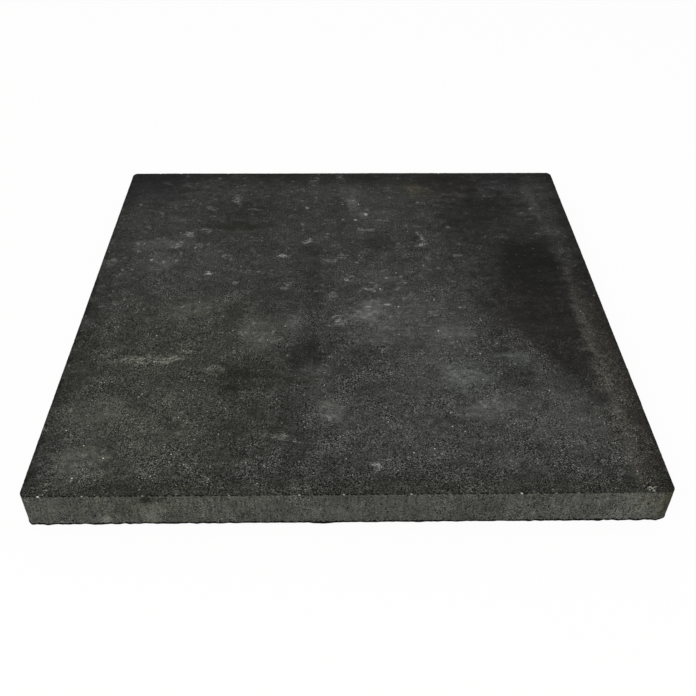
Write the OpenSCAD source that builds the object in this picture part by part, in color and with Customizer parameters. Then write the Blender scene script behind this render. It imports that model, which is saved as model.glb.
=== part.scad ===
// Square concrete paving slab, pressed as one piece in a steel mould.
// The origin is the middle of the bedding face, which lies on the ground. +Z points up, out of the
// wearing face that is walked on, and the four sides face along X and Y. Sizes are in millimetres.

/* [Slab] */
// Length of the slab, along X
slab_length = 600; // [200:10:1000]
// Width of the slab, along Y
slab_width = 600; // [200:10:1000]
// Thickness, from the bedding face to the wearing face
slab_thickness = 40; // [20:1:100]

/* [Edges] */
// Radius of the four upright corners, seen from above
corner_r = 7; // [4:0.5:30]
// Radius of the arris where the wearing face meets the sides
top_arris_r = 1.2; // [0.4:0.1:3]
// Radius of the edge where the bedding face meets the sides
base_arris_r = 1.6; // [0.4:0.1:3]

/* [Hidden] */

// Facets on a full turn where the model is drawn as a mesh
$fn = 96;
// How far a cut runs past the face that it opens
cut_past = 1;
// Through-coloured dark grey concrete
concrete_colour = "#3c3c39";

// Straight run of each side, between the tangent points of two corners
run_length = slab_length - 2 * corner_r;
run_width = slab_width - 2 * corner_r;

// The waste outside a round of radius r, on a profile corner that points along +X and +Y
module round_waste(r) {
    translate([-r, -r])
        difference() {
            square(r + cut_past);
            circle(r);
        }
}

// Section through the slab's rim: X runs outwards to the side face, Y runs up
module rim_section() {
    difference() {
        square([corner_r, slab_thickness]);
        translate([corner_r, slab_thickness]) round_waste(top_arris_r);
        translate([corner_r, 0]) mirror([0, 1]) round_waste(base_arris_r);
    }
}

// The rim along one straight side: it runs along Y, and its outer face looks along +X
module straight_rim(run) {
    translate([0, run / 2, 0])
        rotate([90, 0, 0])
            linear_extrude(height = run) rim_section();
}

// The rim round one upright corner: a quarter turn of the same section
module corner_rim() {
    rotate_extrude(angle = 90) rim_section();
}

// The two straight sides that face along +X and -X, and the two along +Y and -Y
module side_rims() {
    for (turn = [0, 180]) {
        rotate([0, 0, turn]) translate([run_length / 2, 0, 0]) straight_rim(run_width);
        rotate([0, 0, turn + 90]) translate([run_width / 2, 0, 0]) straight_rim(run_length);
    }
}

// The four upright corners
module corner_rims() {
    for (turn = [0, 180]) {
        rotate([0, 0, turn]) translate([run_length / 2, run_width / 2, 0]) corner_rim();
        rotate([0, 0, turn + 90]) translate([run_width / 2, run_length / 2, 0]) corner_rim();
    }
}

// The field of the slab inside its rim
module field() {
    translate([-run_length / 2, -run_width / 2, 0])
        cube([run_length, run_width, slab_thickness]);
}

// The whole slab
module slab() {
    color(concrete_colour)
        union() {
            field();
            side_rims();
            corner_rims();
        }
}

slab();
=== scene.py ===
# %% [markdown]
# # A pressed concrete paving slab
# The real thing is one piece of dark, fine-grained concrete, shaken and pressed in a steel mould and
# then stored outdoors. Its flat form is quickly drawn, so its character is all in the surface: sandy
# grain, lime bloom, damp stains, a crumbly upper edge and a ragged lower one. The CAD model is loaded
# first as a fixed frame that gives the true size and place, in metres, with the bedding face at z = 0.

# %% Load the frame
import math
import random

import bpy
import numpy as np
from mathutils import Matrix, Vector, noise
from mathutils.geometry import delaunay_2d_cdt


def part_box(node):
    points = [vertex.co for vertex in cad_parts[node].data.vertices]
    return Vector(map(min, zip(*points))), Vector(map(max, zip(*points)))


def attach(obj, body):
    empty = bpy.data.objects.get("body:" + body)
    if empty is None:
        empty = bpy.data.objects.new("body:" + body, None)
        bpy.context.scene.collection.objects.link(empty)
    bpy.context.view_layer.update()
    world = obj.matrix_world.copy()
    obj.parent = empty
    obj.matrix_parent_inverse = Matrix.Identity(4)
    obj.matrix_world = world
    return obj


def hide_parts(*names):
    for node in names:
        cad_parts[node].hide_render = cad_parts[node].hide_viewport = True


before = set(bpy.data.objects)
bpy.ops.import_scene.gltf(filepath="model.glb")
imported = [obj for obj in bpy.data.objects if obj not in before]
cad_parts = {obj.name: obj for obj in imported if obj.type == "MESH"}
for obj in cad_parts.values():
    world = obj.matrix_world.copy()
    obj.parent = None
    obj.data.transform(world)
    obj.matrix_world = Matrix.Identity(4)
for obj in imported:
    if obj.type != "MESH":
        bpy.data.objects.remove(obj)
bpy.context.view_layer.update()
scene = bpy.context.scene
scene.view_settings.view_transform = "Standard"

# %% [markdown]
# ## The camera
# The slab was photographed from the front and above, with its front edge near the lens. A camera can
# be placed by eye, but a square of known size gives more: its four corners fix where the camera stood,
# how it was turned and its focal length. Those values are used here, so that the edges line up.

# %% Camera
PHOTO_SIDE = 696       # pixels across the square picture
FOCAL_PIXELS = 864.0   # focal length, in the same pixels
SENSOR_MM = 36.0
camera_place = Vector((-0.012, -0.816, 0.6473))
pan = 0.0194           # radians to the right of straight ahead
tilt = 0.6983          # radians below the horizon
roll = 0.0075          # radians about the line of sight

ahead = Vector((math.sin(pan) * math.cos(tilt), math.cos(pan) * math.cos(tilt), -math.sin(tilt)))
level = Vector((math.cos(pan), -math.sin(pan), 0.0))
upward = level.cross(ahead)
camera_x = math.cos(roll) * level + math.sin(roll) * upward
camera_y = math.cos(roll) * upward - math.sin(roll) * level

camera_data = bpy.data.cameras.new("camera")
camera_data.sensor_width = SENSOR_MM
camera_data.lens = SENSOR_MM * FOCAL_PIXELS / PHOTO_SIDE
camera = bpy.data.objects.new("camera", camera_data)
turn = Matrix((camera_x, camera_y, -ahead)).transposed()
camera.matrix_world = Matrix.Translation(camera_place) @ turn.to_4x4()
scene.collection.objects.link(camera)
scene.camera = camera
print("camera lens", round(camera_data.lens, 2), "mm, looking down", round(math.degrees(tilt), 1), "degrees")

# %% [markdown]
# ## Two small helpers for materials
# Colours are written as hex values, as a paint programme shows them. Blender calculates with linear
# light, so one function turns the hex value into that. The second helper adds a shader node, sets its
# options, and for each input either sets a value or links another node's output. Where only the node is
# given, its first output is meant, which keeps the long sums below readable.

# %% Colour and node helpers
def linear(hex_colour):
    """The linear RGBA colour of an sRGB hex value such as "#4a4b46"."""
    levels = [int(hex_colour[i:i + 2], 16) / 255 for i in (1, 3, 5)]
    return [v / 12.92 if v <= 0.04045 else ((v + 0.055) / 1.055) ** 2.4 for v in levels] + [1.0]


def add_node(tree, kind, inputs=None, **settings):
    """Adds one shader node. An input is a value to set, an output to link, or a node for its first output."""
    node = tree.nodes.new("ShaderNode" + kind)
    for name, value in settings.items():
        setattr(node, name, value)
    for name, value in (inputs or {}).items():
        if isinstance(value, bpy.types.Node):
            value = value.outputs[0]
        if isinstance(value, bpy.types.NodeSocket):
            tree.links.new(value, node.inputs[name])
        else:
            node.inputs[name].default_value = value
    return node


print("a mid grey, #808080, is", round(linear("#808080")[0], 3), "in linear light")

# %% [markdown]
# ## Floor and studio light
# The slab lies on a plain white sweep under soft light. A white picture could be had by lighting the
# floor until it burns out, but that would wash out the slab too. So the light stays at a plain level,
# and the floor mixes in a white glow that only the camera and mirror-like rays see. A small
# share of its true shading is left in, which keeps the slab's shadow.

# %% Floor
FLOOR_SIDE = 12.0
FLOOR_GLOW = 0.92      # share of the glow in what the camera sees of the floor

floor_mesh = bpy.data.meshes.new("floor")
half = FLOOR_SIDE / 2
floor_corners = [(-half, -half, 0.0), (half, -half, 0.0), (half, half, 0.0), (-half, half, 0.0)]
floor_mesh.from_pydata(floor_corners, [], [(0, 1, 2, 3)])
floor = bpy.data.objects.new("floor", floor_mesh)
scene.collection.objects.link(floor)


def seen_rays(tree):
    """1 for rays that the picture shows, straight, mirrored or through glass, and 0 for light on the slab."""
    ray = add_node(tree, "LightPath").outputs
    seen = add_node(tree, "Math", {0: ray["Is Camera Ray"], 1: ray["Is Glossy Ray"]}, operation="ADD")
    return add_node(tree, "Math", {0: seen, 1: ray["Is Transmission Ray"]},
                    operation="ADD", use_clamp=True)


paper = bpy.data.materials.new("white paper sweep")
paper.use_nodes = True
tree = paper.node_tree
tree.nodes.clear()
share = add_node(tree, "Math", {0: seen_rays(tree), 1: FLOOR_GLOW}, operation="MULTIPLY")
matte = add_node(tree, "BsdfDiffuse", {"Color": linear("#fafaf8")})
glow = add_node(tree, "Emission", {"Color": linear("#ffffff"), "Strength": 1.0})
mixed = add_node(tree, "MixShader", {0: share, 1: matte, 2: glow})
add_node(tree, "OutputMaterial", {"Surface": mixed})
floor_mesh.materials.append(paper)
print("floor", FLOOR_SIDE, "m square, glow share", FLOOR_GLOW)

# %% World and lamps
SKY_LEVEL = 0.66       # even light from all round, as from white studio walls
LAMP_LEVEL = 0.34      # what the soft lamp adds on the wearing face, where 1 shows a colour as written
LAMP_SIDE = 2.4        # metres
lamp_place = Vector((-1.0, -2.7, 2.8))

world = bpy.data.worlds.new("studio")
scene.world = world
world.use_nodes = True
tree = world.node_tree
tree.nodes.clear()
strength = add_node(tree, "MapRange",
                    {"Value": seen_rays(tree), "To Min": SKY_LEVEL, "To Max": 1.0})
sky = add_node(tree, "Background", {"Color": linear("#ffffff"), "Strength": strength})
add_node(tree, "OutputWorld", {"Surface": sky})

lamp_data = bpy.data.lights.new("soft box", "AREA")
lamp_data.size = LAMP_SIDE
distance = lamp_place.length
lamp_data.energy = LAMP_LEVEL * math.pi ** 2 * distance ** 3 / lamp_place.z
lamp = bpy.data.objects.new("soft box", lamp_data)
lamp.location = lamp_place
lamp.rotation_euler = (-lamp_place).to_track_quat("-Z", "Y").to_euler()
scene.collection.objects.link(lamp)
print("soft box of", round(lamp_data.energy, 1), "W at", round(distance, 2), "m")

# %% [markdown]
# ## The slab's mesh: a fine rim round a field
# The CAD solid has true edges but only a few large faces, and relief needs points to move. A box could
# be subdivided evenly, but that wastes points where the face is plain and has too few at the edges.
# Here the rim is a section swept round the outline, with close rings over the arris, down the side and
# round the lower edge. The two faces inside it are filled by Delaunay triangulation, which takes
# points wherever they are wanted. Lengths are in millimetres until the mesh is made.

# %% Outline
MM = 0.001
CORNER_R = 7.0         # the three radii of the CAD model
ARRIS_R = 1.2
BASE_R = 1.6
EDGE_STEP = 1.65       # between points along an edge
CORNER_STEPS = 8

low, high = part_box("slab")
half_x = (high[0] - low[0]) / 2 / MM
half_y = (high[1] - low[1]) / 2 / MM
thick = (high[2] - low[2]) / MM


def outline_stations():
    """Stations anticlockwise round the plan: where the corner radius starts from, and the way out."""
    run_x = half_x - CORNER_R
    run_y = half_y - CORNER_R
    corners = [(run_x, -run_y), (run_x, run_y), (-run_x, run_y), (-run_x, -run_y)]
    stations = []
    for n, (x, y) in enumerate(corners):
        next_x, next_y = corners[(n + 1) % 4]
        facing = math.radians(90 * n - 90)
        for k in range(CORNER_STEPS):
            angle = facing + math.radians(90) * k / CORNER_STEPS
            stations.append((x, y, math.cos(angle), math.sin(angle)))
        facing += math.radians(90)
        steps = round(math.hypot(next_x - x, next_y - y) / EDGE_STEP)
        for k in range(steps):
            part = k / steps
            along = (x + (next_x - x) * part, y + (next_y - y) * part)
            stations.append((*along, math.cos(facing), math.sin(facing)))
    return np.array(stations)


stations = outline_stations()
print(len(stations), "stations round a slab of", half_x * 2, "x", half_y * 2, "x", thick, "mm")

# %% Section of the rim
RIM_INSETS = [5.5, 4.2, 3.0, 2.0]   # rings on the flat, inside each edge
SIDE_STEP = 2.3                     # between rings down the side
ARC_STEPS = 5


def rim_section():
    """Rings down the rim: inset from the side, height, and the normal's angle above level, in radians."""
    quarter = math.pi / 2
    rings = [(inset, thick, quarter) for inset in RIM_INSETS]
    for k in range(ARC_STEPS + 1):
        angle = quarter * (1 - k / ARC_STEPS)
        rings.append((ARRIS_R * (1 - math.cos(angle)), thick - ARRIS_R * (1 - math.sin(angle)), angle))
    steps = round((thick - ARRIS_R - BASE_R) / SIDE_STEP)
    for k in range(1, steps):
        rings.append((0.0, thick - ARRIS_R + (ARRIS_R + BASE_R - thick) * k / steps, 0.0))
    for k in range(ARC_STEPS + 1):
        angle = -quarter * k / ARC_STEPS
        rings.append((BASE_R * (1 - math.cos(angle)), BASE_R * (1 + math.sin(angle)), angle))
    rings += [(inset, 0.0, -quarter) for inset in reversed(RIM_INSETS)]
    return rings


section = rim_section()
rim_points = []
rim_normals = []
for inset, height, angle in section:
    ring = stations[:, :2] + stations[:, 2:] * (CORNER_R - inset)
    rim_points.append(np.column_stack([ring, np.full(len(ring), height)]))
    outward = stations[:, 2:] * math.cos(angle)
    rim_normals.append(np.column_stack([outward, np.full(len(ring), math.sin(angle))]))
print(len(section), "rings,", len(section) * len(stations), "points in the rim")

# %% [markdown]
# ## Pits, chips and the spall
# Pressed concrete is never perfect. Air leaves small pits in the faces, handling knocks grains and
# small flakes off the arris, and one larger flake, a spall, has come away at the front right corner.
# They could be painted on as bump, but they show at the outline, so they are shape. Their places come
# from a seeded random generator, so each run gives the same slab.

# %% Places of the pits and chips
SEED = 29
PITS = 150
PIT_MARGIN = 12                   # no pits this near to the edges
PIT_RADII = (1.2, 2.6)
PIT_DEPTHS = (0.2, 0.4)           # of the radius
CHIPS_TOP, TOP_RADII, TOP_LIFTS = 170, (0.9, 3.0), (0.5, 1.1)         # the lift is an angle in radians
CHIPS_BASE, BASE_RADII, BASE_LIFTS = 36, (1.0, 3.2), (-1.0, -0.4)
CHIP_OUT = 0.55                   # of its radius, how far a chip's ball stands off the edge
spall = {"x": 278.0, "y": -295.0, "half_width": 6.5, "depth": 2.0}

draw = random.Random(SEED)
pits = []
for _ in range(PITS):
    x = draw.uniform(-half_x + PIT_MARGIN, half_x - PIT_MARGIN)
    y = draw.uniform(-half_y + PIT_MARGIN, half_y - PIT_MARGIN)
    radius = draw.uniform(*PIT_RADII)
    pits.append((x, y, radius, radius * draw.uniform(*PIT_DEPTHS)))


def edge_chip(height, smallest, largest, lift):
    """A ball that bites the edge at a random station: its centre and radius. Most are small."""
    x, y, out_x, out_y = stations[draw.randrange(len(stations))]
    radius = smallest + (largest - smallest) * draw.random() ** 3
    off = CORNER_R + radius * CHIP_OUT * math.cos(lift)
    return (x + out_x * off, y + out_y * off, height + radius * CHIP_OUT * math.sin(lift), radius)


chips = [edge_chip(thick, *TOP_RADII, draw.uniform(*TOP_LIFTS)) for _ in range(CHIPS_TOP)]
chips += [edge_chip(0.0, *BASE_RADII, draw.uniform(*BASE_LIFTS)) for _ in range(CHIPS_BASE)]
spall_ball = (spall["half_width"] ** 2 + spall["depth"] ** 2) / (2 * spall["depth"])
chips.append((spall["x"], spall["y"], thick + spall_ball - spall["depth"], spall_ball))
print(len(pits), "pits,", len(chips), "chips, the spall's ball has a radius of", round(spall_ball, 1), "mm")

# %% Fill the two faces
FIELD_STEP, FIELD_JITTER = 3.25, 0.5   # between points of the wearing face, and how far each is moved
UNDER_STEP, UNDER_JITTER = 12.0, 1.0   # the same for the bedding face
RIM_GAP = 0.6                          # of a step, between the rim and the outermost points
PIT_RINGS = ((0.45, 5), (0.85, 7))     # share of a pit's radius, and points on that ring
MERGE_MM = 1e-6                        # points nearer than this count as one


def lattice(step, jitter):
    """Points of a triangular lattice inside the rim, each moved a little so that no rows show."""
    edge_x = half_x - RIM_INSETS[0] - step * RIM_GAP
    edge_y = half_y - RIM_INSETS[0] - step * RIM_GAP
    rows = round(2 * edge_y / (step * math.sqrt(3) / 2))
    columns = round(2 * edge_x / step)
    points = []
    for row in range(rows + 1):
        for column in range(columns + 1 - row % 2):
            x = -edge_x + 2 * edge_x * (column + row % 2 / 2) / columns
            y = -edge_y + 2 * edge_y * row / rows
            points.append((x + draw.uniform(-jitter, jitter), y + draw.uniform(-jitter, jitter)))
    return points


def around(x, y, radius):
    """A middle point and the points of small rings round it."""
    points = [(x, y)]
    for share, count in PIT_RINGS:
        for k in range(count):
            angle = 2 * math.pi * k / count
            points.append((x + radius * share * math.cos(angle), y + radius * share * math.sin(angle)))
    return points


def fill(ring, inner):
    """Triangles between the points of a closed ring and the points inside it."""
    count = len(ring)
    spots = [Vector(p[:2]) for p in ring] + [Vector(p) for p in inner]
    bounds = [(n, (n + 1) % count) for n in range(count)]
    spots, _, faces, _, _, _ = delaunay_2d_cdt(spots, bounds, [], 1, MERGE_MM)
    return [spot[:] for spot in spots[count:]], faces


field = lattice(FIELD_STEP, FIELD_JITTER)
for x, y, radius, _ in pits:
    field += around(x, y, radius)
field_points, field_faces = fill(rim_points[0], field)
under_points, under_faces = fill(rim_points[-1], lattice(UNDER_STEP, UNDER_JITTER))
print(len(field_faces), "triangles in the wearing face,", len(under_faces), "in the bedding face")

# %% Join rim and faces
around_count = len(stations)
rim_total = around_count * len(section)
points = np.vstack(
    rim_points
    + [np.column_stack([field_points, np.full(len(field_points), thick)])]
    + [np.column_stack([under_points, np.zeros(len(under_points))])]
)
normals = np.zeros_like(points)
normals[:rim_total] = np.vstack(rim_normals)
normals[rim_total:rim_total + len(field_points), 2] = 1.0
normals[rim_total + len(field_points):, 2] = -1.0

faces = []
part_of_face = []      # "top", "under" or "side", for the texture map
for ring in range(len(section) - 1):
    middle = math.degrees(section[ring][2] + section[ring + 1][2]) / 2
    part = "top" if middle > 45 else "under" if middle < -45 else "side"
    for k in range(around_count):
        after = (k + 1) % around_count
        upper = ring * around_count
        lower = upper + around_count
        faces.append((upper + k, lower + k, lower + after, upper + after))
        part_of_face.append(part)

field_start = rim_total - around_count
for face in field_faces:
    faces.append(tuple(v if v < around_count else v + field_start for v in face))
    part_of_face.append("top")
under_start = rim_total + len(field_points) - around_count
last_ring = rim_total - around_count
for face in under_faces:
    faces.append(tuple(v + last_ring if v < around_count else v + under_start for v in reversed(face)))
    part_of_face.append("under")
triangles = sum(len(face) - 2 for face in faces)
print(len(points), "points and", triangles, "triangles")

# %% [markdown]
# ## Relief
# The mould leaves faces that are flat to the eye but not to the touch: slow waves from the press, lumps
# from the stones under the skin, and drag marks down the sides from stripping the mould. The arris
# crumbles grain by grain. Each is a sum of smooth noise at its own real size, moved along the normal.
# A chip is a ball that bites the edge: points inside the ball go back to its surface.

# %% Relief of the faces
def waves(size, seed, stretch=(1.0, 1.0, 1.0)):
    """Smooth noise from about -1 to 1 at every point, with lumps of that size in millimetres."""
    start = Vector((seed * 31.7, seed * 17.3, seed * 7.9))
    spots = points / size / np.array(stretch)
    return np.array([noise.noise(Vector(spot) + start) for spot in spots])


facing_up = normals[:, 2]
on_top = np.clip(facing_up * 2 - 1, 0, 1)
on_side = 1 - np.abs(facing_up)
# Each term is a height in millimetres, times waves of a size in millimetres with a seed of their own.
press_waves = 0.18 * waves(95, seed=1)
stone_lumps = 0.07 * waves(13, seed=2) + 0.05 * waves(5, seed=3)
drag_marks = 0.05 * waves(5, seed=4, stretch=(1, 1, 9)) + 0.14 * waves(28, seed=5)
relief = (press_waves + stone_lumps) * np.where(facing_up < -0.5, 0.0, 1.0) + drag_marks * on_side
print("relief from", round(relief.min(), 2), "to", round(relief.max(), 2), "mm")

# %% Arris and base edge
BASE_BAND = 4.0        # height of the ragged band above the bedding face
base_places = [-half_x, -150, -90, 100, half_x]
base_heights = [1.3, 1.0, 0.35, 0.5, 1.3]      # how ragged the lower edge is at those x

edge_turn = np.zeros(len(points))
edge_turn[:rim_total] = np.repeat([math.sin(2 * angle) for _, _, angle in section], around_count)
arris = np.clip(edge_turn, 0, 1)
height = points[:, 2]
near_base = np.clip((BASE_BAND - height) / BASE_BAND, 0, 1) * np.where(facing_up > -0.95, 1, 0)
right_side = np.where(points[:, 0] > half_x - CORNER_R, 1, 0)

crumble = np.clip(0.2 + waves(3.4, seed=6), 0, 1) * 0.75 + np.clip(waves(9, seed=7), 0, 1) * 0.5
tongues = np.clip(waves(24, seed=8, stretch=(1, 1, 4)) - 0.1, 0, 1) * 2.4
flash = 0.4 + tongues + waves(6, seed=9) * np.interp(points[:, 0], base_places, base_heights)
relief -= crumble * arris * (1 + right_side)
relief += flash * near_base
print("arris crumbled by up to", round(float((crumble * arris).max()), 2), "mm, more on the right side")

# %% Bite out the pits, chips and spall
FRESH_DEPTH = 0.5      # where the spall is this deep, its surface is all fresh

for x, y, radius, depth in pits:
    near = ((points[:, 0] - x) ** 2 + (points[:, 1] - y) ** 2) / radius ** 2
    relief -= depth * np.clip(1 - near, 0, 1) * np.where(facing_up > 0.9, 1, 0)
shaped = points + normals * relief[:, None]

uneven = 1 + 0.12 * waves(2.2, seed=10)
fresh_break = np.zeros(len(points))
for x, y, z, radius in chips:
    away = shaped - np.array([x, y, z])
    reach = np.linalg.norm(away, axis=1)
    inside = reach < radius * uneven
    pushed = away[inside] * (radius * uneven[inside] / reach[inside])[:, None]
    if radius == spall_ball:
        fresh_break[inside] = np.clip((radius - reach[inside]) / FRESH_DEPTH, 0, 1)
    shaped[inside] = np.array([x, y, z]) + pushed
shaped[:, 2] = np.maximum(shaped[:, 2], 0.0)
print("largest move", round(float(np.linalg.norm(shaped - points, axis=1).max()), 2), "mm")

# %% [markdown]
# ## The texture map
# The material is worked out from places in space and needs no map. A copy for a game or a web page does,
# because its colours are baked into one picture. Blender could unwrap the mesh by itself, in many small
# islands. The map given here gives the wearing face most of the picture, the four sides a strip each at the
# same scale, and the bedding face, which nobody sees, one corner. The mesh also keeps what it knows about
# its points: how far each is on the wearing face, on the arris, near the base or in the fresh break.

# %% Make the mesh
MAP_SIDE = 0.80        # of the picture's width, for the wearing face
MAP_EDGE = 0.01        # left free at the picture's left and lower edge
MAP_GAP = 0.02         # between the wearing face and the first strip
STRIP_STEP = 0.07      # from one side's strip to the next
UNDER_SIDE = 0.15      # for the bedding face
SOIL_AND_SHADE_HEIGHT = 8.0      # millimetres above the bedding face, where soil clings and painted contact shadow lies
per_mm = MAP_SIDE / (2 * half_x)
strip = MAP_EDGE + MAP_SIDE + MAP_GAP


def map_place(part, facing, point):
    """Where a point of a face goes on the map. facing is the way its side looks: front, back, left, right."""
    x, y, z = point
    if part == "top":
        return MAP_EDGE + (x + half_x) * per_mm, MAP_EDGE + (y + half_y) * per_mm
    if part == "under":
        shrink = UNDER_SIDE / (2 * half_x)
        return strip + (half_x - x) * shrink, strip + (y + half_y) * shrink
    if facing in ("front", "back"):
        along = x + half_x if facing == "front" else half_x - x
        return MAP_EDGE + along * per_mm, strip + z * per_mm + (STRIP_STEP if facing == "back" else 0)
    along = y + half_y if facing == "right" else half_y - y
    return strip + (thick - z) * per_mm + (STRIP_STEP if facing == "right" else 0), MAP_EDGE + along * per_mm


slab_mesh = bpy.data.meshes.new("pressed_slab")
slab_mesh.from_pydata((shaped * MM).tolist(), [], faces)
slab_mesh.polygons.foreach_set("use_smooth", [True] * len(faces))
layer = slab_mesh.uv_layers.new(name="OFBake")
map_places = []
for face, part in zip(faces, part_of_face):
    middle = normals[list(face)].mean(axis=0)
    if abs(middle[1]) >= abs(middle[0]):
        facing = "front" if middle[1] < 0 else "back"
    else:
        facing = "left" if middle[0] < 0 else "right"
    for v in face:
        map_places += map_place(part, facing, points[v])
layer.data.foreach_set("uv", map_places)
base_soil_and_shade = np.clip((SOIL_AND_SHADE_HEIGHT - height) / SOIL_AND_SHADE_HEIGHT, 0, 1)
face_shares = {"wearing_face": on_top, "arris": arris, "base_soil_and_shade": base_soil_and_shade, "fresh_break": fresh_break}
for name, values in face_shares.items():
    attribute = slab_mesh.attributes.new(name, "FLOAT", "POINT")
    attribute.data.foreach_set("value", values.astype(np.float32))
slab_mesh.validate()
slab = bpy.data.objects.new("pressed_slab", slab_mesh)
scene.collection.objects.link(slab)
print("slab mesh:", len(slab_mesh.vertices), "points,", len(slab_mesh.polygons), "faces")

# %% [markdown]
# ## Charcoal concrete, vibro-pressed
# The material is fine concrete with black pigment, pressed and then weathered. To the eye it is matte
# and nearly neutral, a shade olive, with sand grains showing through the cement skin, smooth pale veils
# where lime has dried out, and dark stains where damp has stayed. Each of these could be mixed as a
# colour of its own. Here they are all added up as one tone, counted in grey levels from 0 to 255, and
# one colour ramp turns the tone into the concrete's colour. So every layer stays easy to weigh.

# %% Start the material
concrete = bpy.data.materials.new("vibro-pressed charcoal concrete")
concrete.use_nodes = True
tree = concrete.node_tree
tree.nodes.clear()
metres = add_node(tree, "TexCoord").outputs["Object"]
place = add_node(tree, "VectorMath", {0: metres, 1: [1 / MM] * 3}, operation="MULTIPLY")
axes = add_node(tree, "SeparateXYZ", {"Vector": place}).outputs
along = add_node(tree, "Math", {0: axes["X"], 1: axes["Y"]}, operation="ADD")
side_skin = add_node(tree, "CombineXYZ", {"X": along, "Y": axes["Z"]})
top_share = add_node(tree, "Attribute", attribute_name="wearing_face").outputs["Fac"]
skin = add_node(tree, "Mix", {0: top_share, 4: side_skin, 5: place}, data_type="VECTOR").outputs[1]
print("the material works in millimetres from the middle of the bedding face")

# %% [markdown]
# ## Cloudy ground tone
# Before any stain, pressed concrete is uneven by itself: pigment and water spread in clouds of a hand's
# width, with smaller blotches in them. The press table shakes sideways, which draws them out a little.
# One noise texture with many octaves could do it, but three give each real size a weight of its own.

# %% Clouds and blotches
TOP_LEVEL = 48         # the wearing face's own grey, before bloom and damp
DRAWN_OUT = 1.6        # how much longer the clouds are along x than along y
clouds = ((85, 14), (24, 38), (8, 26))      # size in millimetres, grey levels

drawn_out = add_node(tree, "VectorMath", {0: place, 1: (1.0, DRAWN_OUT, 1.0)}, operation="MULTIPLY")
ground = TOP_LEVEL - sum(levels for _, levels in clouds) / 2
for size, levels in clouds:
    lumps = add_node(tree, "TexNoise",
                     {"Vector": drawn_out, "Scale": 1 / size, "Detail": 3.0, "Roughness": 0.6})
    ground = add_node(tree, "Math", {0: lumps, 1: levels, 2: ground}, operation="MULTIPLY_ADD")
print("clouds of", [size for size, _ in clouds], "mm round a grey of", TOP_LEVEL)

# %% [markdown]
# ## Stains placed one by one
# Where the slab dried, lime came out as a smooth pale veil or a small fleck, and where water stood it
# stayed dark. Noise could scatter such marks, but these sit where this slab has them, so they are lists:
# place and half sizes in millimetres, a turn in degrees, grey levels, and how soft the border is.
# The place that a mark reads wanders with noise, and a second noise tears its border.

# %% Ragged borders
WANDER_MM, WANDER_REACH = 24, 24   # the noise that moves places, and how far it can move them
VEIL_MM, TEAR = 15, 0.8            # the noise that tears borders, and how deep it tears
BORDER = 0.7                       # share of a mark over which it fades, at a softness of 1

wander = add_node(tree, "TexNoise",
                  {"Vector": drawn_out, "Scale": 1 / WANDER_MM, "Detail": 6.0, "Roughness": 0.6})
wander = add_node(tree, "VectorMath", {0: wander.outputs["Color"], 1: (0.5, 0.5, 0.5)},
                  operation="SUBTRACT")
ragged = add_node(tree, "VectorMath", {0: wander, 1: [WANDER_REACH] * 3, 2: place},
                  operation="MULTIPLY_ADD")
veil = add_node(tree, "TexNoise",
                {"Vector": drawn_out, "Scale": 1 / VEIL_MM, "Detail": 5.0, "Roughness": 0.6})


def add_mark(total, middle, halves, turn_degrees, levels, soft):
    """Adds one mark, its middle and half sizes in millimetres, to a running total of grey levels."""
    left = 1 - TEAR / 2    # of the mark's radius, after the tearing
    spot = add_node(tree, "Mapping", {
        "Vector": ragged,
        "Location": middle,
        "Rotation": (0, 0, math.radians(turn_degrees)),
        "Scale": [half / left for half in halves],
    }, vector_type="TEXTURE")
    ball = add_node(tree, "TexGradient", {"Vector": spot}, gradient_type="SPHERICAL").outputs["Fac"]
    torn = add_node(tree, "Math", {0: veil, 1: -TEAR, 2: ball}, operation="MULTIPLY_ADD")
    share = add_node(tree, "MapRange",
                     {"Value": torn, "From Max": BORDER * soft * left, "To Max": levels},
                     interpolation_type="SMOOTHSTEP")
    return add_node(tree, "Math", {0: total, 1: share}, operation="ADD")


print("borders wander by up to", WANDER_REACH / 2, "mm")

# %% Damp marks
damp_marks = [
    # x, y, half width, half depth, turn, levels, softness
    (262, -30, 60, 150, 0, -6, 1.2),       # round the print, right
    (166, -10, 26, 110, 0, -9, 1.0),
    (222, 20, 90, 150, 0, -7, 1.2),
    (215, 150, 130, 190, 0, -14, 1.2),     # back right
    (172, 185, 80, 66, 0, -12, 1.0),
    (190, 222, 60, 34, 0, -9, 0.9),
    (150, 268, 64, 34, 0, -12, 0.9),
    (45, 275, 60, 28, 0, -7, 1.0),
    (290, 160, 14, 130, 0, -7, 1.0),       # along the right edge
    (289, 45, 16, 64, 0, -10, 1.0),
    (-262, 258, 70, 66, 0, -14, 1.0),      # back left corner
    (-145, 158, 52, 14, 0, -15, 0.8),
    (-150, 198, 80, 36, 0, -9, 1.0),
    (-112, 180, 60, 130, 0, -5, 1.2),
    (-43, -104, 27, 34, 0, -16, 0.8),      # middle
    (-115, -138, 52, 36, 0, -14, 1.0),
    (-55, -190, 26, 100, 0, -10, 1.0),
    (-112, -225, 50, 90, 0, -7, 1.2),
    (-38, 30, 16, 80, 0, -8, 1.0),
    (-39, 100, 22, 16, 0, -8, 0.9),
    (46, 114, 26, 26, 0, -10, 0.9),
    (22, 20, 16, 14, 0, -9, 0.9),
    (20, -106, 28, 24, 0, -5, 0.9),
    (182, -140, 26, 22, 0, -10, 0.9),      # front right
    (108, -204, 13, 10, 0, -15, 0.8),
    (90, 126, 6, 12, 10, -10, 0.9),        # beside the hooked drip
]
print(len(damp_marks), "damp marks")

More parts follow.
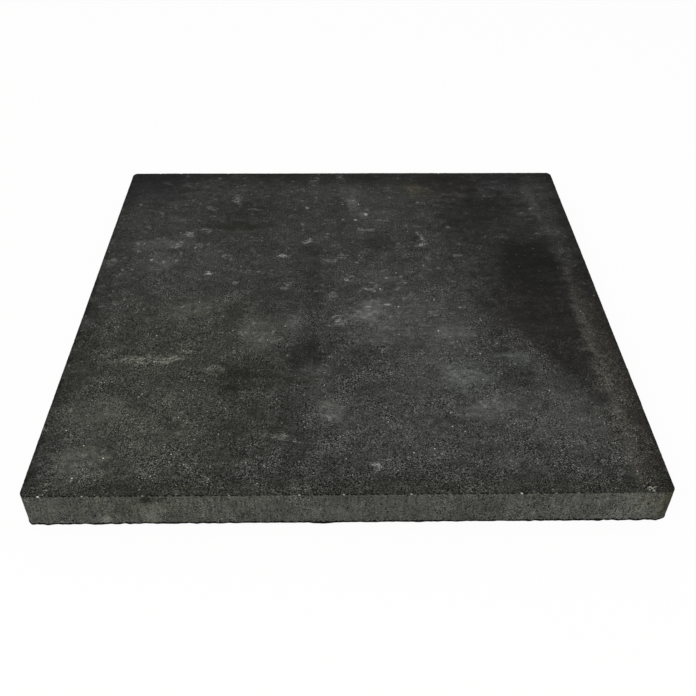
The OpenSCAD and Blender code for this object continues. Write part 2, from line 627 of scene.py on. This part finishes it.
# %% Veils of bloom
veil_marks = [
    # x, y, half width, half depth, turn, levels, softness
    (70, -35, 110, 80, -20, 15, 1.2),      # broad pale field, middle right
    (36, -45, 44, 70, 0, 8, 1.2),
    (95, -125, 80, 60, 30, 11, 1.2),
    (40, 42, 48, 44, 0, 9, 1.2),
    (28, -24, 22, 26, -20, 20, 1.0),
    (118, -68, 44, 20, 10, 11, 1.0),
    (131, -142, 44, 31, -15, 22, 1.0),
    (186, -110, 19, 14, 0, 22, 1.0),
    (150, -185, 46, 16, 25, 17, 1.0),
    (160, -188, 90, 44, 0, 9, 1.2),
    (-38, -150, 40, 60, 0, 9, 1.2),        # middle left
    (-15, -195, 19, 22, 0, 29, 1.0),
    (-96, -64, 28, 42, 15, 21, 1.0),
    (-58, -48, 15, 28, 0, 17, 1.0),
    (-176, -18, 46, 26, 20, 16, 1.0),
    (-232, 114, 60, 16, 4, 20, 1.0),       # back left
    (-225, 76, 34, 30, 0, 15, 1.0),
    (-165, 85, 32, 20, 0, 13, 1.0),
    (13, 208, 12, 18, 15, 22, 1.0),        # diagonal, back middle
    (27, 184, 10, 11, 15, 22, 1.0),
    (8, 238, 24, 34, 0, 17, 1.0),
    (38, 188, 40, 50, 0, 7, 1.2),
    (100, 254, 22, 18, 0, 12, 1.0),        # round the rust spot
    (-255, -190, 50, 26, 10, 11, 1.0),     # front left
    (-258, -262, 44, 32, 0, 14, 1.0),
    (-262, -245, 60, 70, 0, 6, 1.2),
    (-200, -225, 120, 70, 0, 7, 1.2),
    (80, -220, 130, 60, 0, 7, 1.2),        # front right
    (150, -261, 26, 14, 0, 11, 1.0),
    (226, -205, 60, 70, 0, 11, 1.2),
    (259, 215, 10, 76, 4, 15, 1.0),        # pale line down the right edge
    (276, 142, 28, 20, 0, 14, 1.0),
    (271, -60, 10, 95, 0, 14, 1.0),
    (273, -205, 11, 110, 0, 11, 1.0),
]
print(len(veil_marks), "veils")

# %% Flecks of lime
fleck_marks = [
    # x, y, half width, half depth, turn, levels, softness
    (-205, -110, 52, 11, 4, 31, 0.9),      # streak, left
    (-176, -98, 14, 4, 0, 29, 0.7),
    (-140, -128, 18, 8, -15, 24, 0.9),
    (-165, 52, 8, 8, 0, 46, 0.8),          # back left
    (-145, 225, 10, 14, 0, 29, 0.7),
    (-122, 199, 16, 4, -8, 29, 0.7),
    (-200, 136, 13, 6, 0, 30, 0.7),
    (-133, 28, 6, 5, 0, 32, 0.7),
    (-267, -9, 10, 7, 0, 20, 0.7),
    (-46, 121, 10, 6, 0, 41, 0.7),         # middle
    (-75, 88, 9, 6, 0, 36, 0.7),
    (-18, 76, 12, 6, 0, 26, 0.8),
    (-9, -46, 16, 11, 0, 25, 0.7),
    (-15, 6, 7, 8, 0, 25, 0.7),
    (6, 39, 6, 6, 0, 36, 0.7),
    (24, 149, 5, 5, 0, 36, 0.7),
    (50, 171, 10, 7, 0, 30, 0.8),
    (101, 128, 5, 22, 22, 34, 0.8),        # hooked drip
    (98, 112, 11, 5, 15, 34, 0.8),
    (135, -18, 9, 6, 0, 29, 0.7),          # front
    (-63, -227, 28, 4, -16, 28, 0.9),
    (30, -264, 5, 4, 0, 49, 0.7),
]
totals = []
for marks in (damp_marks, veil_marks, fleck_marks):
    total = 0.0
    for x, y, half_width, half_depth, turn_degrees, levels, soft in marks:
        halves = (half_width, half_depth, 2 * thick)
        total = add_mark(total, (x, y, thick), halves, turn_degrees, levels, soft)
    totals.append(total)
damp, bloom, flecks = totals
print(len(fleck_marks), "flecks; all three kinds summed up")

# %% [markdown]
# ## The damp print
# At the right a dark print is left, as where something with straight edges lay on the slab and held the
# damp in. It could be one more mark, but marks are round. So it is a product of fades, one across each of
# its borders, and a second, shorter product deepens its upper end.

# %% Damp print
LEFT_LEAN, FOOT_LEAN = -0.12, 0.5   # along the left and lower borders, x plus this share of y stays the same
prints = [
    # grey levels, then the borders: the way across, and where the fade starts and ends in millimetres
    (-16, [("left", 172, 198), ("X", 272, 255), ("Y", 134, 98), ("foot", 148, 178)]),
    (-8, [("left", 176, 200), ("X", 270, 253), ("Y", 132, 104), ("Y", 10, 60)]),
]

ragged_axes = add_node(tree, "SeparateXYZ", {"Vector": ragged}).outputs
ways = {"X": ragged_axes["X"], "Y": ragged_axes["Y"]}
for name, lean in (("left", LEFT_LEAN), ("foot", FOOT_LEAN)):
    ways[name] = add_node(tree, "Math", {0: ways["Y"], 1: lean, 2: ways["X"]},
                          operation="MULTIPLY_ADD")
for levels, borders in prints:
    share = levels
    for way, outside, inside in borders:
        fade = add_node(tree, "MapRange",
                        {"Value": ways[way], "From Min": outside, "From Max": inside},
                        interpolation_type="SMOOTHSTEP")
        share = add_node(tree, "Math", {0: share, 1: fade}, operation="MULTIPLY")
    damp = add_node(tree, "Math", {0: damp, 1: share}, operation="ADD")
print("a damp print in", len(prints), "layers")

# %% [markdown]
# ## Film, lace, wisps and crumbs of lime
# Lime dries as a film that is thicker here and thinner there. In the small flecks it breaks up like lace,
# where lime water dried back it leaves thin wisps, and on dry parts it sits in crumbs. One noise could
# stand for all of them, but each has its own size and sharpness. So each is a noise texture of a real
# size, and a range of it is stretched to a share or to grey levels.

# %% Film, lace and crumbs
FIBRES = 2.8           # how much longer the holes of the lace are along x than along y
fibres = add_node(tree, "VectorMath", {0: ragged, 1: (1.0, FIBRES, 1.0)}, operation="MULTIPLY")
lime_layers = {
    # place it reads, size in millimetres, detail, roughness, range of the noise, what the range turns into
    "film": (drawn_out, 7, 3.0, 0.6, (0.35, 0.65), (0.65, 1.35)),     # share of the veils
    "lace": (fibres, 7, 4.0, 0.6, (0.44, 0.62), (0.1, 2.1)),          # share of the flecks
    "crumbs": (place, 7, 4.0, 0.62, (0.57, 0.7), (0.0, 26.0)),        # grey levels
}
lime = {}
for name, (spot, size, detail, roughness, (starts, ends), (least, most)) in lime_layers.items():
    cloud = add_node(tree, "TexNoise",
                     {"Vector": spot, "Scale": 1 / size, "Detail": detail, "Roughness": roughness})
    lime[name] = add_node(tree, "MapRange", {"Value": cloud, "From Min": starts, "From Max": ends,
                                             "To Min": least, "To Max": most})
    print(name, "of lime at a size of", size, "mm")

# %% Wisps
WISP_MM, WISP_LEVELS = 13, 28
WISP_WIDTH = 0.014               # of the noise's height, on each side of its middle line
PATCH_STARTS, PATCH_ENDS = 0.46, 0.6   # wisps fade in between these values of the tearing noise

wisps = add_node(tree, "TexNoise",
                 {"Vector": drawn_out, "Scale": 1 / WISP_MM, "Detail": 4.0, "Roughness": 0.55})
wisps = add_node(tree, "Math", {0: wisps, 1: 0.5}, operation="SUBTRACT")
wisps = add_node(tree, "Math", {0: wisps}, operation="ABSOLUTE")
wisps = add_node(tree, "MapRange",
                 {"Value": wisps, "From Max": WISP_WIDTH, "To Min": 1.0, "To Max": 0.0})
patches = add_node(tree, "MapRange",
                   {"Value": veil, "From Min": PATCH_STARTS, "From Max": PATCH_ENDS, "To Max": WISP_LEVELS})
wisps = add_node(tree, "Math", {0: wisps, 1: patches}, operation="MULTIPLY")
print("wisps about", WISP_MM, "mm apart, in patches")

# %% Lime on the ground tone
DRY_RANGE = 22.0                 # grey levels of bloom, or of damp, at which dryness reaches its ends
DAMP_SHARE, DRY_SHARE = 0.35, 1.2   # of the crumbs and wisps, where it is damp and where it is dry

dryness = add_node(tree, "Math", {0: bloom, 1: damp}, operation="ADD")
dryness = add_node(tree, "MapRange", {"Value": dryness, "From Min": -DRY_RANGE, "From Max": DRY_RANGE,
                                      "To Min": DAMP_SHARE, "To Max": DRY_SHARE})
dry_lace = add_node(tree, "Math", {0: lime["lace"], 1: dryness}, operation="MULTIPLY")
bloom = add_node(tree, "Math", {0: bloom, 1: lime["film"]}, operation="MULTIPLY")
flecks = add_node(tree, "Math", {0: flecks, 1: lime["lace"]}, operation="MULTIPLY")
tone = ground
for layer in (lime["crumbs"], wisps):
    tone = add_node(tree, "Math", {0: layer, 1: dryness, 2: tone}, operation="MULTIPLY_ADD")
for stain in (bloom, flecks, damp):
    tone = add_node(tree, "Math", {0: tone, 1: stain}, operation="ADD")
print("lime and damp added to the ground tone")

# %% [markdown]
# ## The dark rim
# Slabs dry from the middle when they lie in a stack, so a band along each edge of the face is darker. The
# band along the back edge is darker again, partly damp and partly painted shade, where the light falls off
# towards the back. The last few millimetres at the left and right are darker still. The distance from each
# edge, made ragged in the same way, gives each band. They are summed first, because damp also evens out the
# grain.

# %% Dark rim
rim_bands = [
    # axis, edge, width in millimetres, grey levels
    ("X", -half_x, 30, -10),
    ("X", half_x, 26, -15),
    # the back band is partly painted shade, for the light falling off towards the back
    ("Y", half_y, 52, -22),
    ("Y", -half_y, 44, -9),
    ("X", -half_x, 4, -14),
    ("X", half_x, 4, -9),
]
rim = 0.0
for axis, edge, width, levels in rim_bands:
    inner = edge - math.copysign(width, edge)
    band = add_node(tree, "MapRange",
                    {"Value": ragged_axes[axis], "From Min": inner, "From Max": edge, "To Max": levels},
                    interpolation_type="SMOOTHSTEP")
    rim = add_node(tree, "Math", {0: rim, 1: band}, operation="ADD")
tone = add_node(tree, "Math", {0: tone, 1: rim}, operation="ADD")
print(len(rim_bands), "dark bands along the edges")

# %% [markdown]
# ## Sand grain
# The cement skin is thin, and sand shows through it, each grain with a shade of its own. A Voronoi texture
# gives that, one shade to a cell, where plain noise would only give soft lumps. The grain shows more
# at the front, where the slab is worn, and less where the skin is thick, under lime and in damp.

# %% Sand and grit
SAND_MM, SAND_LEVELS = 0.72, 73
GRIT_MM, GRIT_LEVELS = 3.2, 7

sand = add_node(tree, "TexVoronoi", {"Vector": skin, "Scale": 1 / SAND_MM},
                voronoi_dimensions="2D").outputs
shade = add_node(tree, "SeparateColor", {"Color": sand["Color"]})
grit = add_node(tree, "TexNoise",
                {"Vector": place, "Scale": 1 / GRIT_MM, "Detail": 3.0, "Roughness": 0.7})
grain = -(SAND_LEVELS + GRIT_LEVELS) / 2
for layer, levels in ((shade, SAND_LEVELS), (grit, GRIT_LEVELS)):
    grain = add_node(tree, "Math", {0: layer, 1: levels, 2: grain}, operation="MULTIPLY_ADD")
print("sand of", SAND_MM, "mm and grit of", GRIT_MM, "mm")

# %% Where the grain shows
SKIN_MM = 24           # size of the areas where the cement skin is thicker or thinner
FRONT_ENDS = -190.0    # y where the most worn band along the front edge ends

thin_skin = add_node(tree, "TexNoise", {"Vector": place, "Scale": 1 / SKIN_MM, "Detail": 4.0})
wet = add_node(tree, "Math", {0: rim, 1: damp}, operation="ADD")
grain_shares = {
    # what it follows, the range of that, and the share of the grain at its two ends
    "thin skin": (thin_skin, (0.35, 0.65), (0.5, 1.25)),
    "wear": (axes["Y"], (-half_y, half_y), (1.45, 0.42)),
    "front band": (axes["Y"], (-half_y, FRONT_ENDS), (0.95, 0.4)),
    "lime": (bloom, (0.0, 28.0), (1.0, 0.4)),
    "damp": (wet, (-24.0, 0.0), (0.52, 1.12)),
}
shows = {}
for name, (value, (starts, ends), (first, last)) in grain_shares.items():
    shows[name] = add_node(tree, "MapRange", {"Value": value, "From Min": starts, "From Max": ends,
                                              "To Min": first, "To Max": last})
through_lime = add_node(tree, "Math", {0: shows["lime"], 1: shows["front band"]}, operation="MAXIMUM")
bare_skin = shows["thin skin"]
for share in (through_lime, shows["damp"]):
    bare_skin = add_node(tree, "Math", {0: bare_skin, 1: share}, operation="MULTIPLY")
seen_grain = grain
for share in (shows["wear"], bare_skin):
    seen_grain = add_node(tree, "Math", {0: seen_grain, 1: share}, operation="MULTIPLY")
tone = add_node(tree, "Math", {0: tone, 1: seen_grain}, operation="ADD")
print("the grain's contrast follows", ", ".join(shows))

# %% [markdown]
# ## Grains, pores and flecks that stand alone
# A few quartz grains shine out of the dark skin, pale sand and small pores pepper it, and drops of lime
# water dried to crumbs and flecks, mostly on the back half. Thousands of small meshes could be scattered,
# but these have no height that shows. So they are dots round the points of a sparse Voronoi texture,
# and a random shade of each cell decides which of them show. Crumbs and flecks read the wandering place,
# so that they come out ragged. The last column says what a kind of dot needs to show.

# %% Specks and flecks
FRONT_Y, BACK_Y = -120.0, 60.0   # the levels change from front to back between these
DOT_CORE = 0.4                   # of a dot's radius, inside which it has its full level

washed = add_node(tree, "MapRange", {"Value": damp, "From Min": -30.0, "From Max": -8.0,
                                     "To Min": 1.0, "To Max": 0.3})
dots = [
    # distance apart, radius, share left out, wander, levels at the back and at the front, what shows them
    (21.0, 0.9, 0.65, 0, 170, 190, dryness),   # quartz
    (12.0, 0.9, 0.4, 0, 100, 90, washed),      # small quartz, clean where damp has washed it
    (3.6, 0.8, 0.5, 0, 42, 72, bare_skin),     # pale sand
    (3.2, 0.8, 0.5, 0, -40, -52, bare_skin),   # pores
    (17.0, 3.4, 0.4, 16, 46, 8, dry_lace),     # crumbs of lime
    (35.0, 8.0, 0.45, 34, 46, 6, dry_lace),    # flecks of lime
]
specks = 0.0
for apart, radius, left_out, reach, back_levels, front_levels, shown in dots:
    spot = add_node(tree, "VectorMath", {0: wander, 1: [reach] * 3, 2: skin}, operation="MULTIPLY_ADD")
    cell = add_node(tree, "TexVoronoi", {"Vector": spot, "Scale": 1 / apart},
                    voronoi_dimensions="2D").outputs
    dot = add_node(tree, "MapRange", {"Value": cell["Distance"], "From Min": radius / apart,
                                      "From Max": DOT_CORE * radius / apart})
    chance = add_node(tree, "SeparateColor", {"Color": cell["Color"]})
    chosen = add_node(tree, "MapRange", {"Value": chance, "From Min": left_out})
    weight = add_node(tree, "MapRange", {"Value": axes["Y"], "From Min": FRONT_Y, "From Max": BACK_Y,
                                         "To Min": front_levels, "To Max": back_levels})
    for factor in (chosen, weight, shown):
        dot = add_node(tree, "Math", {0: dot, 1: factor}, operation="MULTIPLY")
    specks = add_node(tree, "Math", {0: specks, 1: dot}, operation="ADD")
    print("dots of", radius, "mm about", apart, "mm apart")
tone = add_node(tree, "Math", {0: tone, 1: specks}, operation="ADD")

# %% [markdown]
# ## The sides
# The sides slid along the mould, which left them smoother than the wearing face, with faint streaks up
# and down and dark, ragged pinholes where air was caught. They are drawn paler than the wearing face.
# Noise that is stretched along z gives the streaks, and dots of a Voronoi texture the pinholes. The face's
# ground tone, grain and specks go on here, a little weaker, and a few marks sit where this slab has them.

# %% Streaks and pinholes
STREAK_MM, STREAK_LENGTH, STREAK_LEVELS = 1.7, 9, 46   # width, length in widths, grey levels
HOLE_MM, HOLE_R_MM, HOLE_LEVELS = 3.2, 1.1, -66        # distance apart, radius, grey levels
HOLE_WANDER, HOLES_LEFT_OUT = 26, 0.5                  # how far noise bends them, and the share left out

upright = add_node(tree, "VectorMath", {0: place, 1: (1, 1, 1 / STREAK_LENGTH)}, operation="MULTIPLY")
streaks = add_node(tree, "TexNoise",
                   {"Vector": upright, "Scale": 1 / STREAK_MM, "Detail": 2.0, "Roughness": 0.6})
crooked = add_node(tree, "VectorMath", {0: wander, 1: [HOLE_WANDER] * 3, 2: skin},
                   operation="MULTIPLY_ADD")
hole = add_node(tree, "TexVoronoi", {"Vector": crooked, "Scale": 1 / HOLE_MM},
                voronoi_dimensions="2D").outputs
hole_dot = add_node(tree, "MapRange",
                    {"Value": hole["Distance"], "From Min": HOLE_R_MM / HOLE_MM, "From Max": 0.0})
chance = add_node(tree, "SeparateColor", {"Color": hole["Color"]})
pinholes = add_node(tree, "MapRange", {"Value": chance, "From Min": HOLES_LEFT_OUT})
pinholes = add_node(tree, "Math", {0: pinholes, 1: hole_dot}, operation="MULTIPLY")
print("streaks", STREAK_MM, "mm wide, pinholes about", HOLE_MM, "mm apart")

# %% Tone of the sides
SIDE_LEVEL = 67        # the sides' grey, paler than the wearing face's
GROUND_SHARE, GRAIN_SHARE, SPECK_SHARE = 0.9, 0.85, 0.4
FRONT_SOFT = 0.7       # softness of the marks on the front side
front_marks = [
    # x, height, half width, half height, levels
    (-181, 36, 16, 5, -30),               # dark smudge under the arris, and what ran down from it
    (-181, 15, 14, 16, 14),
    (-226, 7, 8, 8, 30),
    (-150, 20, 10, 24, 6),
    (-208, 20, 10, 16, -8),
    (120, 20, 30, 30, -5),
    (266, 18, 28, 30, 12),
    (298, 22, 9, 30, -18),                # algae at the right end
]

side_grain = add_node(tree, "Math", {0: grain, 1: shows["thin skin"]}, operation="MULTIPLY")
side_layers = [
    (streaks, STREAK_LEVELS),
    (ground, GROUND_SHARE),
    (side_grain, GRAIN_SHARE),
    (pinholes, HOLE_LEVELS),
    (specks, SPECK_SHARE),
]
side_tone = SIDE_LEVEL - STREAK_LEVELS / 2 - GROUND_SHARE * TOP_LEVEL
for layer, weight in side_layers:
    side_tone = add_node(tree, "Math", {0: layer, 1: weight, 2: side_tone}, operation="MULTIPLY_ADD")
for x, z, half_width, half_height, levels in front_marks:
    halves = (half_width, 4 * thick, half_height)
    side_tone = add_mark(side_tone, (x, -half_y, z), halves, 0, levels, FRONT_SOFT)
tone = add_node(tree, "Mix", {0: top_share, 2: side_tone, 3: tone})
print("sides at a grey of", SIDE_LEVEL, "with", len(front_marks), "marks at the front")

# %% [markdown]
# ## Arris, lower edge and spall
# Grains broke off the arris and left small hollows, drawn as a dashed dark line of painted shade, with a
# few white grains standing in it. Wet soil clings to the lower edge, and painted contact shadow darkens it
# further. The spall shows the fresh, pale inside, with painted shadow in its hollows. All this could be
# placed by measuring distances from the edges, but the mesh already knows which points lie there. It carries
# those shares as attributes, and noise breaks them up.

# %% Arris
DASH_MM = 4.0                           # length of the dashes
DASH_STARTS, DASH_ENDS = 0.44, 0.54     # values of the noise between which a dash fades in
WHOLE_LEVELS, HOLLOW_SHADE_LEVELS = 4.0, -62   # on the whole arris, and painted shade in the hollows
TIP_MM, TIPS_LEFT_OUT, TIP_LEVELS = 20.0, 0.35, 200   # white grains: distance apart, share left out, levels
TIP_R_MM, TIP_CORE_MM = 1.3, 0.7
WHOLE_FROM, WHOLE_TO = 200.0, 280.0     # x between which the dashes fade, as the right end is less broken
WHOLE_SHARE = 0.25                      # what is left of them there

edge_share = add_node(tree, "Attribute", attribute_name="arris").outputs["Fac"]
dashes = add_node(tree, "TexNoise", {"W": along, "Scale": 1 / DASH_MM, "Detail": 2.0},
                  noise_dimensions="1D")
dashes = add_node(tree, "MapRange", {"Value": dashes, "From Min": DASH_STARTS, "From Max": DASH_ENDS,
                                     "To Min": WHOLE_LEVELS, "To Max": HOLLOW_SHADE_LEVELS})
tip = add_node(tree, "TexVoronoi", {"W": along, "Scale": 1 / TIP_MM}, voronoi_dimensions="1D").outputs
tip_dot = add_node(tree, "MapRange", {"Value": tip["Distance"], "From Min": TIP_R_MM / TIP_MM,
                                      "From Max": TIP_CORE_MM / TIP_MM, "To Max": TIP_LEVELS})
chance = add_node(tree, "SeparateColor", {"Color": tip["Color"]})
chosen = add_node(tree, "MapRange", {"Value": chance, "From Min": TIPS_LEFT_OUT})
# the dark dashes are painted shade in the arris's hollows; the white grains are the concrete's own
arris_tips_and_shade = add_node(tree, "Math", {0: tip_dot, 1: chosen, 2: dashes}, operation="MULTIPLY_ADD")
fading = add_node(tree, "MapRange", {"Value": axes["X"], "From Min": WHOLE_FROM, "From Max": WHOLE_TO,
                                     "To Min": 1.0, "To Max": WHOLE_SHARE})
arris_tips_and_shade = add_node(tree, "Math", {0: arris_tips_and_shade, 1: fading}, operation="MULTIPLY")
tone = add_node(tree, "Math", {0: arris_tips_and_shade, 1: edge_share, 2: tone}, operation="MULTIPLY_ADD")
print("dashes of", DASH_MM, "mm on the arris, white grains about", TIP_MM, "mm apart")

# %% Lower edge and spall
# the lower edge is darkened by soil and by painted contact shadow
SOIL_AND_SHADE_LEVELS = -95
SOIL_AND_SHADE_RAGGED = 0.9                       # how much the grit tears the upper border of the soil and painted shadow
SOIL_AND_SHADE_STARTS, SOIL_AND_SHADE_ENDS = 1.07, 1.13     # nearness to the base, with that, between which soil and painted shadow fade in
FLAKE_STARTS, FLAKE_ENDS = 0.42, 0.6    # values of the grit in the spall, from its hollows, in painted shadow, to its pale grains
# painted shadow in the spall's hollows, and the pale fresh concrete of its grains
SPALL_SHADOW_LEVELS, FRESH_LEVELS = -30.0, 85.0

base_share = add_node(tree, "Attribute", attribute_name="base_soil_and_shade").outputs["Fac"]
fresh = add_node(tree, "Attribute", attribute_name="fresh_break").outputs["Fac"]
# the lower edge's dark band: partly soil, partly painted contact shadow
soil_and_shade = add_node(tree, "Math", {0: grit, 1: SOIL_AND_SHADE_RAGGED, 2: base_share}, operation="MULTIPLY_ADD")
soil_and_shade = add_node(tree, "MapRange",
                {"Value": soil_and_shade, "From Min": SOIL_AND_SHADE_STARTS, "From Max": SOIL_AND_SHADE_ENDS, "To Max": SOIL_AND_SHADE_LEVELS})
tone = add_node(tree, "Math", {0: tone, 1: soil_and_shade}, operation="ADD")
# the spall runs from painted shadow in its hollows to pale fresh grains
spall_shadow_and_grains = add_node(tree, "MapRange", {"Value": grit, "From Min": FLAKE_STARTS, "From Max": FLAKE_ENDS,
                                    "To Min": SPALL_SHADOW_LEVELS, "To Max": FRESH_LEVELS})
tone = add_node(tree, "Math", {0: spall_shadow_and_grains, 1: fresh, 2: tone}, operation="MULTIPLY_ADD")
print("soil darkens the lower edge, and the spall is paler")

# %% [markdown]
# ## From tone to colour
# The ramp is the concrete's own grey scale: its stops are colours, from wet black to dry lime, each at the
# place of its grey. On top come weak tints: olive from algae at the left and front, brown at the right
# edge, and one rust spot from a bit of iron in the sand. A tint multiplies, so it can only dye the tone.

# %% Colour
greys = ["#000000", "#1c1c1b", "#30302e", "#464744", "#5f605d", "#838480", "#b4b5b0", "#ffffff"]
position = add_node(tree, "Math", {0: tone, 1: 1 / 255}, operation="MULTIPLY")
ramp = add_node(tree, "ValToRGB", {"Fac": position})
while len(ramp.color_ramp.elements) < len(greys):
    ramp.color_ramp.elements.new(0.5)
for stop, grey in zip(ramp.color_ramp.elements, greys):
    stop.position = int(grey[1:3], 16) / 255
    stop.color = linear(grey)
print(len(greys), "stops in the grey scale")

# %% Tints
tints = [
    # x, y, half width, half depth, the colour it multiplies by
    (-190, -150, 190, 230, "#fdfff0"),    # olive, front left
    (-145, 158, 56, 20, "#fcffee"),
    (290, -120, 50, 300, "#fff7ec"),      # brown, right edge
    (150, 265, 60, 45, "#fff0ee"),        # purple brown, back
    (222, -40, 60, 110, "#fff2ec"),
    (100, 253, 24, 32, "#fff6dc"),        # rust spot
    (-262, 255, 70, 80, "#f8f8ff"),       # cold grey, back left corner
    (225, 268, 50, 40, "#f4f4ff"),
    (230, 80, 50, 50, "#fcfff0"),
    (132, -142, 50, 36, "#fbfffe"),       # cool lime
    (186, -110, 24, 18, "#f8fffe"),
    (296, -300, 9, 30, "#fbffe8"),        # algae at the front right corner
    (0, -300, 700, 30, "#fefff6"),        # olive, front
]
colour = ramp.outputs["Color"]
for x, y, half_width, half_depth, hex_colour in tints:
    amount = add_mark(0.0, (x, y, thick), (half_width, half_depth, 2 * thick), 0, 1.0, 1.0)
    colour = add_node(tree, "Mix", {0: amount, 6: colour, 7: linear(hex_colour)},
                      data_type="RGBA", blend_type="MULTIPLY").outputs[2]
print(len(tints), "tints")

# %% [markdown]
# ## Roughness and fine relief
# Dry concrete scatters light nearly evenly, so its roughness is about 0.9, a little less where it is damp.
# Its gloss is weak, because the pores swallow most of the mirror-like light. Relief finer than the mesh
# could be displaced, but would need millions of points. It is bump, in true height: sand a tenth of
# a millimetre high, and pinholes half a millimetre deep in the sides.

# %% Fine relief
SAND_HIGH, GRIT_HIGH, HOLE_DEEP = 0.12, 0.25, 0.5   # millimetres
GRAIN_EDGE = 0.7       # distance from a grain's middle, in grains, at which it ends
SIDE_RELIEF = 0.55     # the sides are smoother than the face

sand_top = add_node(tree, "MapRange",
                    {"Value": sand["Distance"], "From Max": GRAIN_EDGE, "To Min": SAND_HIGH, "To Max": 0.0})
sand_height = add_node(tree, "Math", {0: sand_top, 1: shade}, operation="MULTIPLY")
bumps = add_node(tree, "Math", {0: grit, 1: GRIT_HIGH, 2: sand_height}, operation="MULTIPLY_ADD")
side_bumps = add_node(tree, "Math", {0: bumps, 1: SIDE_RELIEF}, operation="MULTIPLY")
side_bumps = add_node(tree, "Math", {0: pinholes, 1: -HOLE_DEEP, 2: side_bumps},
                      operation="MULTIPLY_ADD")
relief_height = add_node(tree, "Mix", {0: top_share, 2: side_bumps, 3: bumps})
bump = add_node(tree, "Bump", {"Height": relief_height, "Distance": MM, "Strength": 1.0})
print("sand", SAND_HIGH, "mm high, pinholes", HOLE_DEEP, "mm deep")

# %% Shader
DRY_ROUGH, DAMP_ROUGH = 0.9, 0.78
WETTEST = -40.0        # grey levels of damp at which the lower roughness is reached
CONCRETE_IOR = 1.5
GLOSS = 0.12           # specular level, where 0.5 is a smooth, closed surface

rough = add_node(tree, "MapRange", {"Value": damp, "From Min": WETTEST, "From Max": 0.0,
                                    "To Min": DAMP_ROUGH, "To Max": DRY_ROUGH})
shader = add_node(tree, "BsdfPrincipled", {
    "Base Color": colour,
    "Roughness": rough,
    "IOR": CONCRETE_IOR,
    "Specular IOR Level": GLOSS,
    "Normal": bump,
})
add_node(tree, "OutputMaterial", {"Surface": shader})
slab_mesh.materials.append(concrete)
print(len(tree.nodes), "nodes in the concrete")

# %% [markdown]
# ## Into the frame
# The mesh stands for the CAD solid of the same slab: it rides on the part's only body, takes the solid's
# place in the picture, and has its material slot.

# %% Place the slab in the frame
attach(slab, "root")
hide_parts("slab")
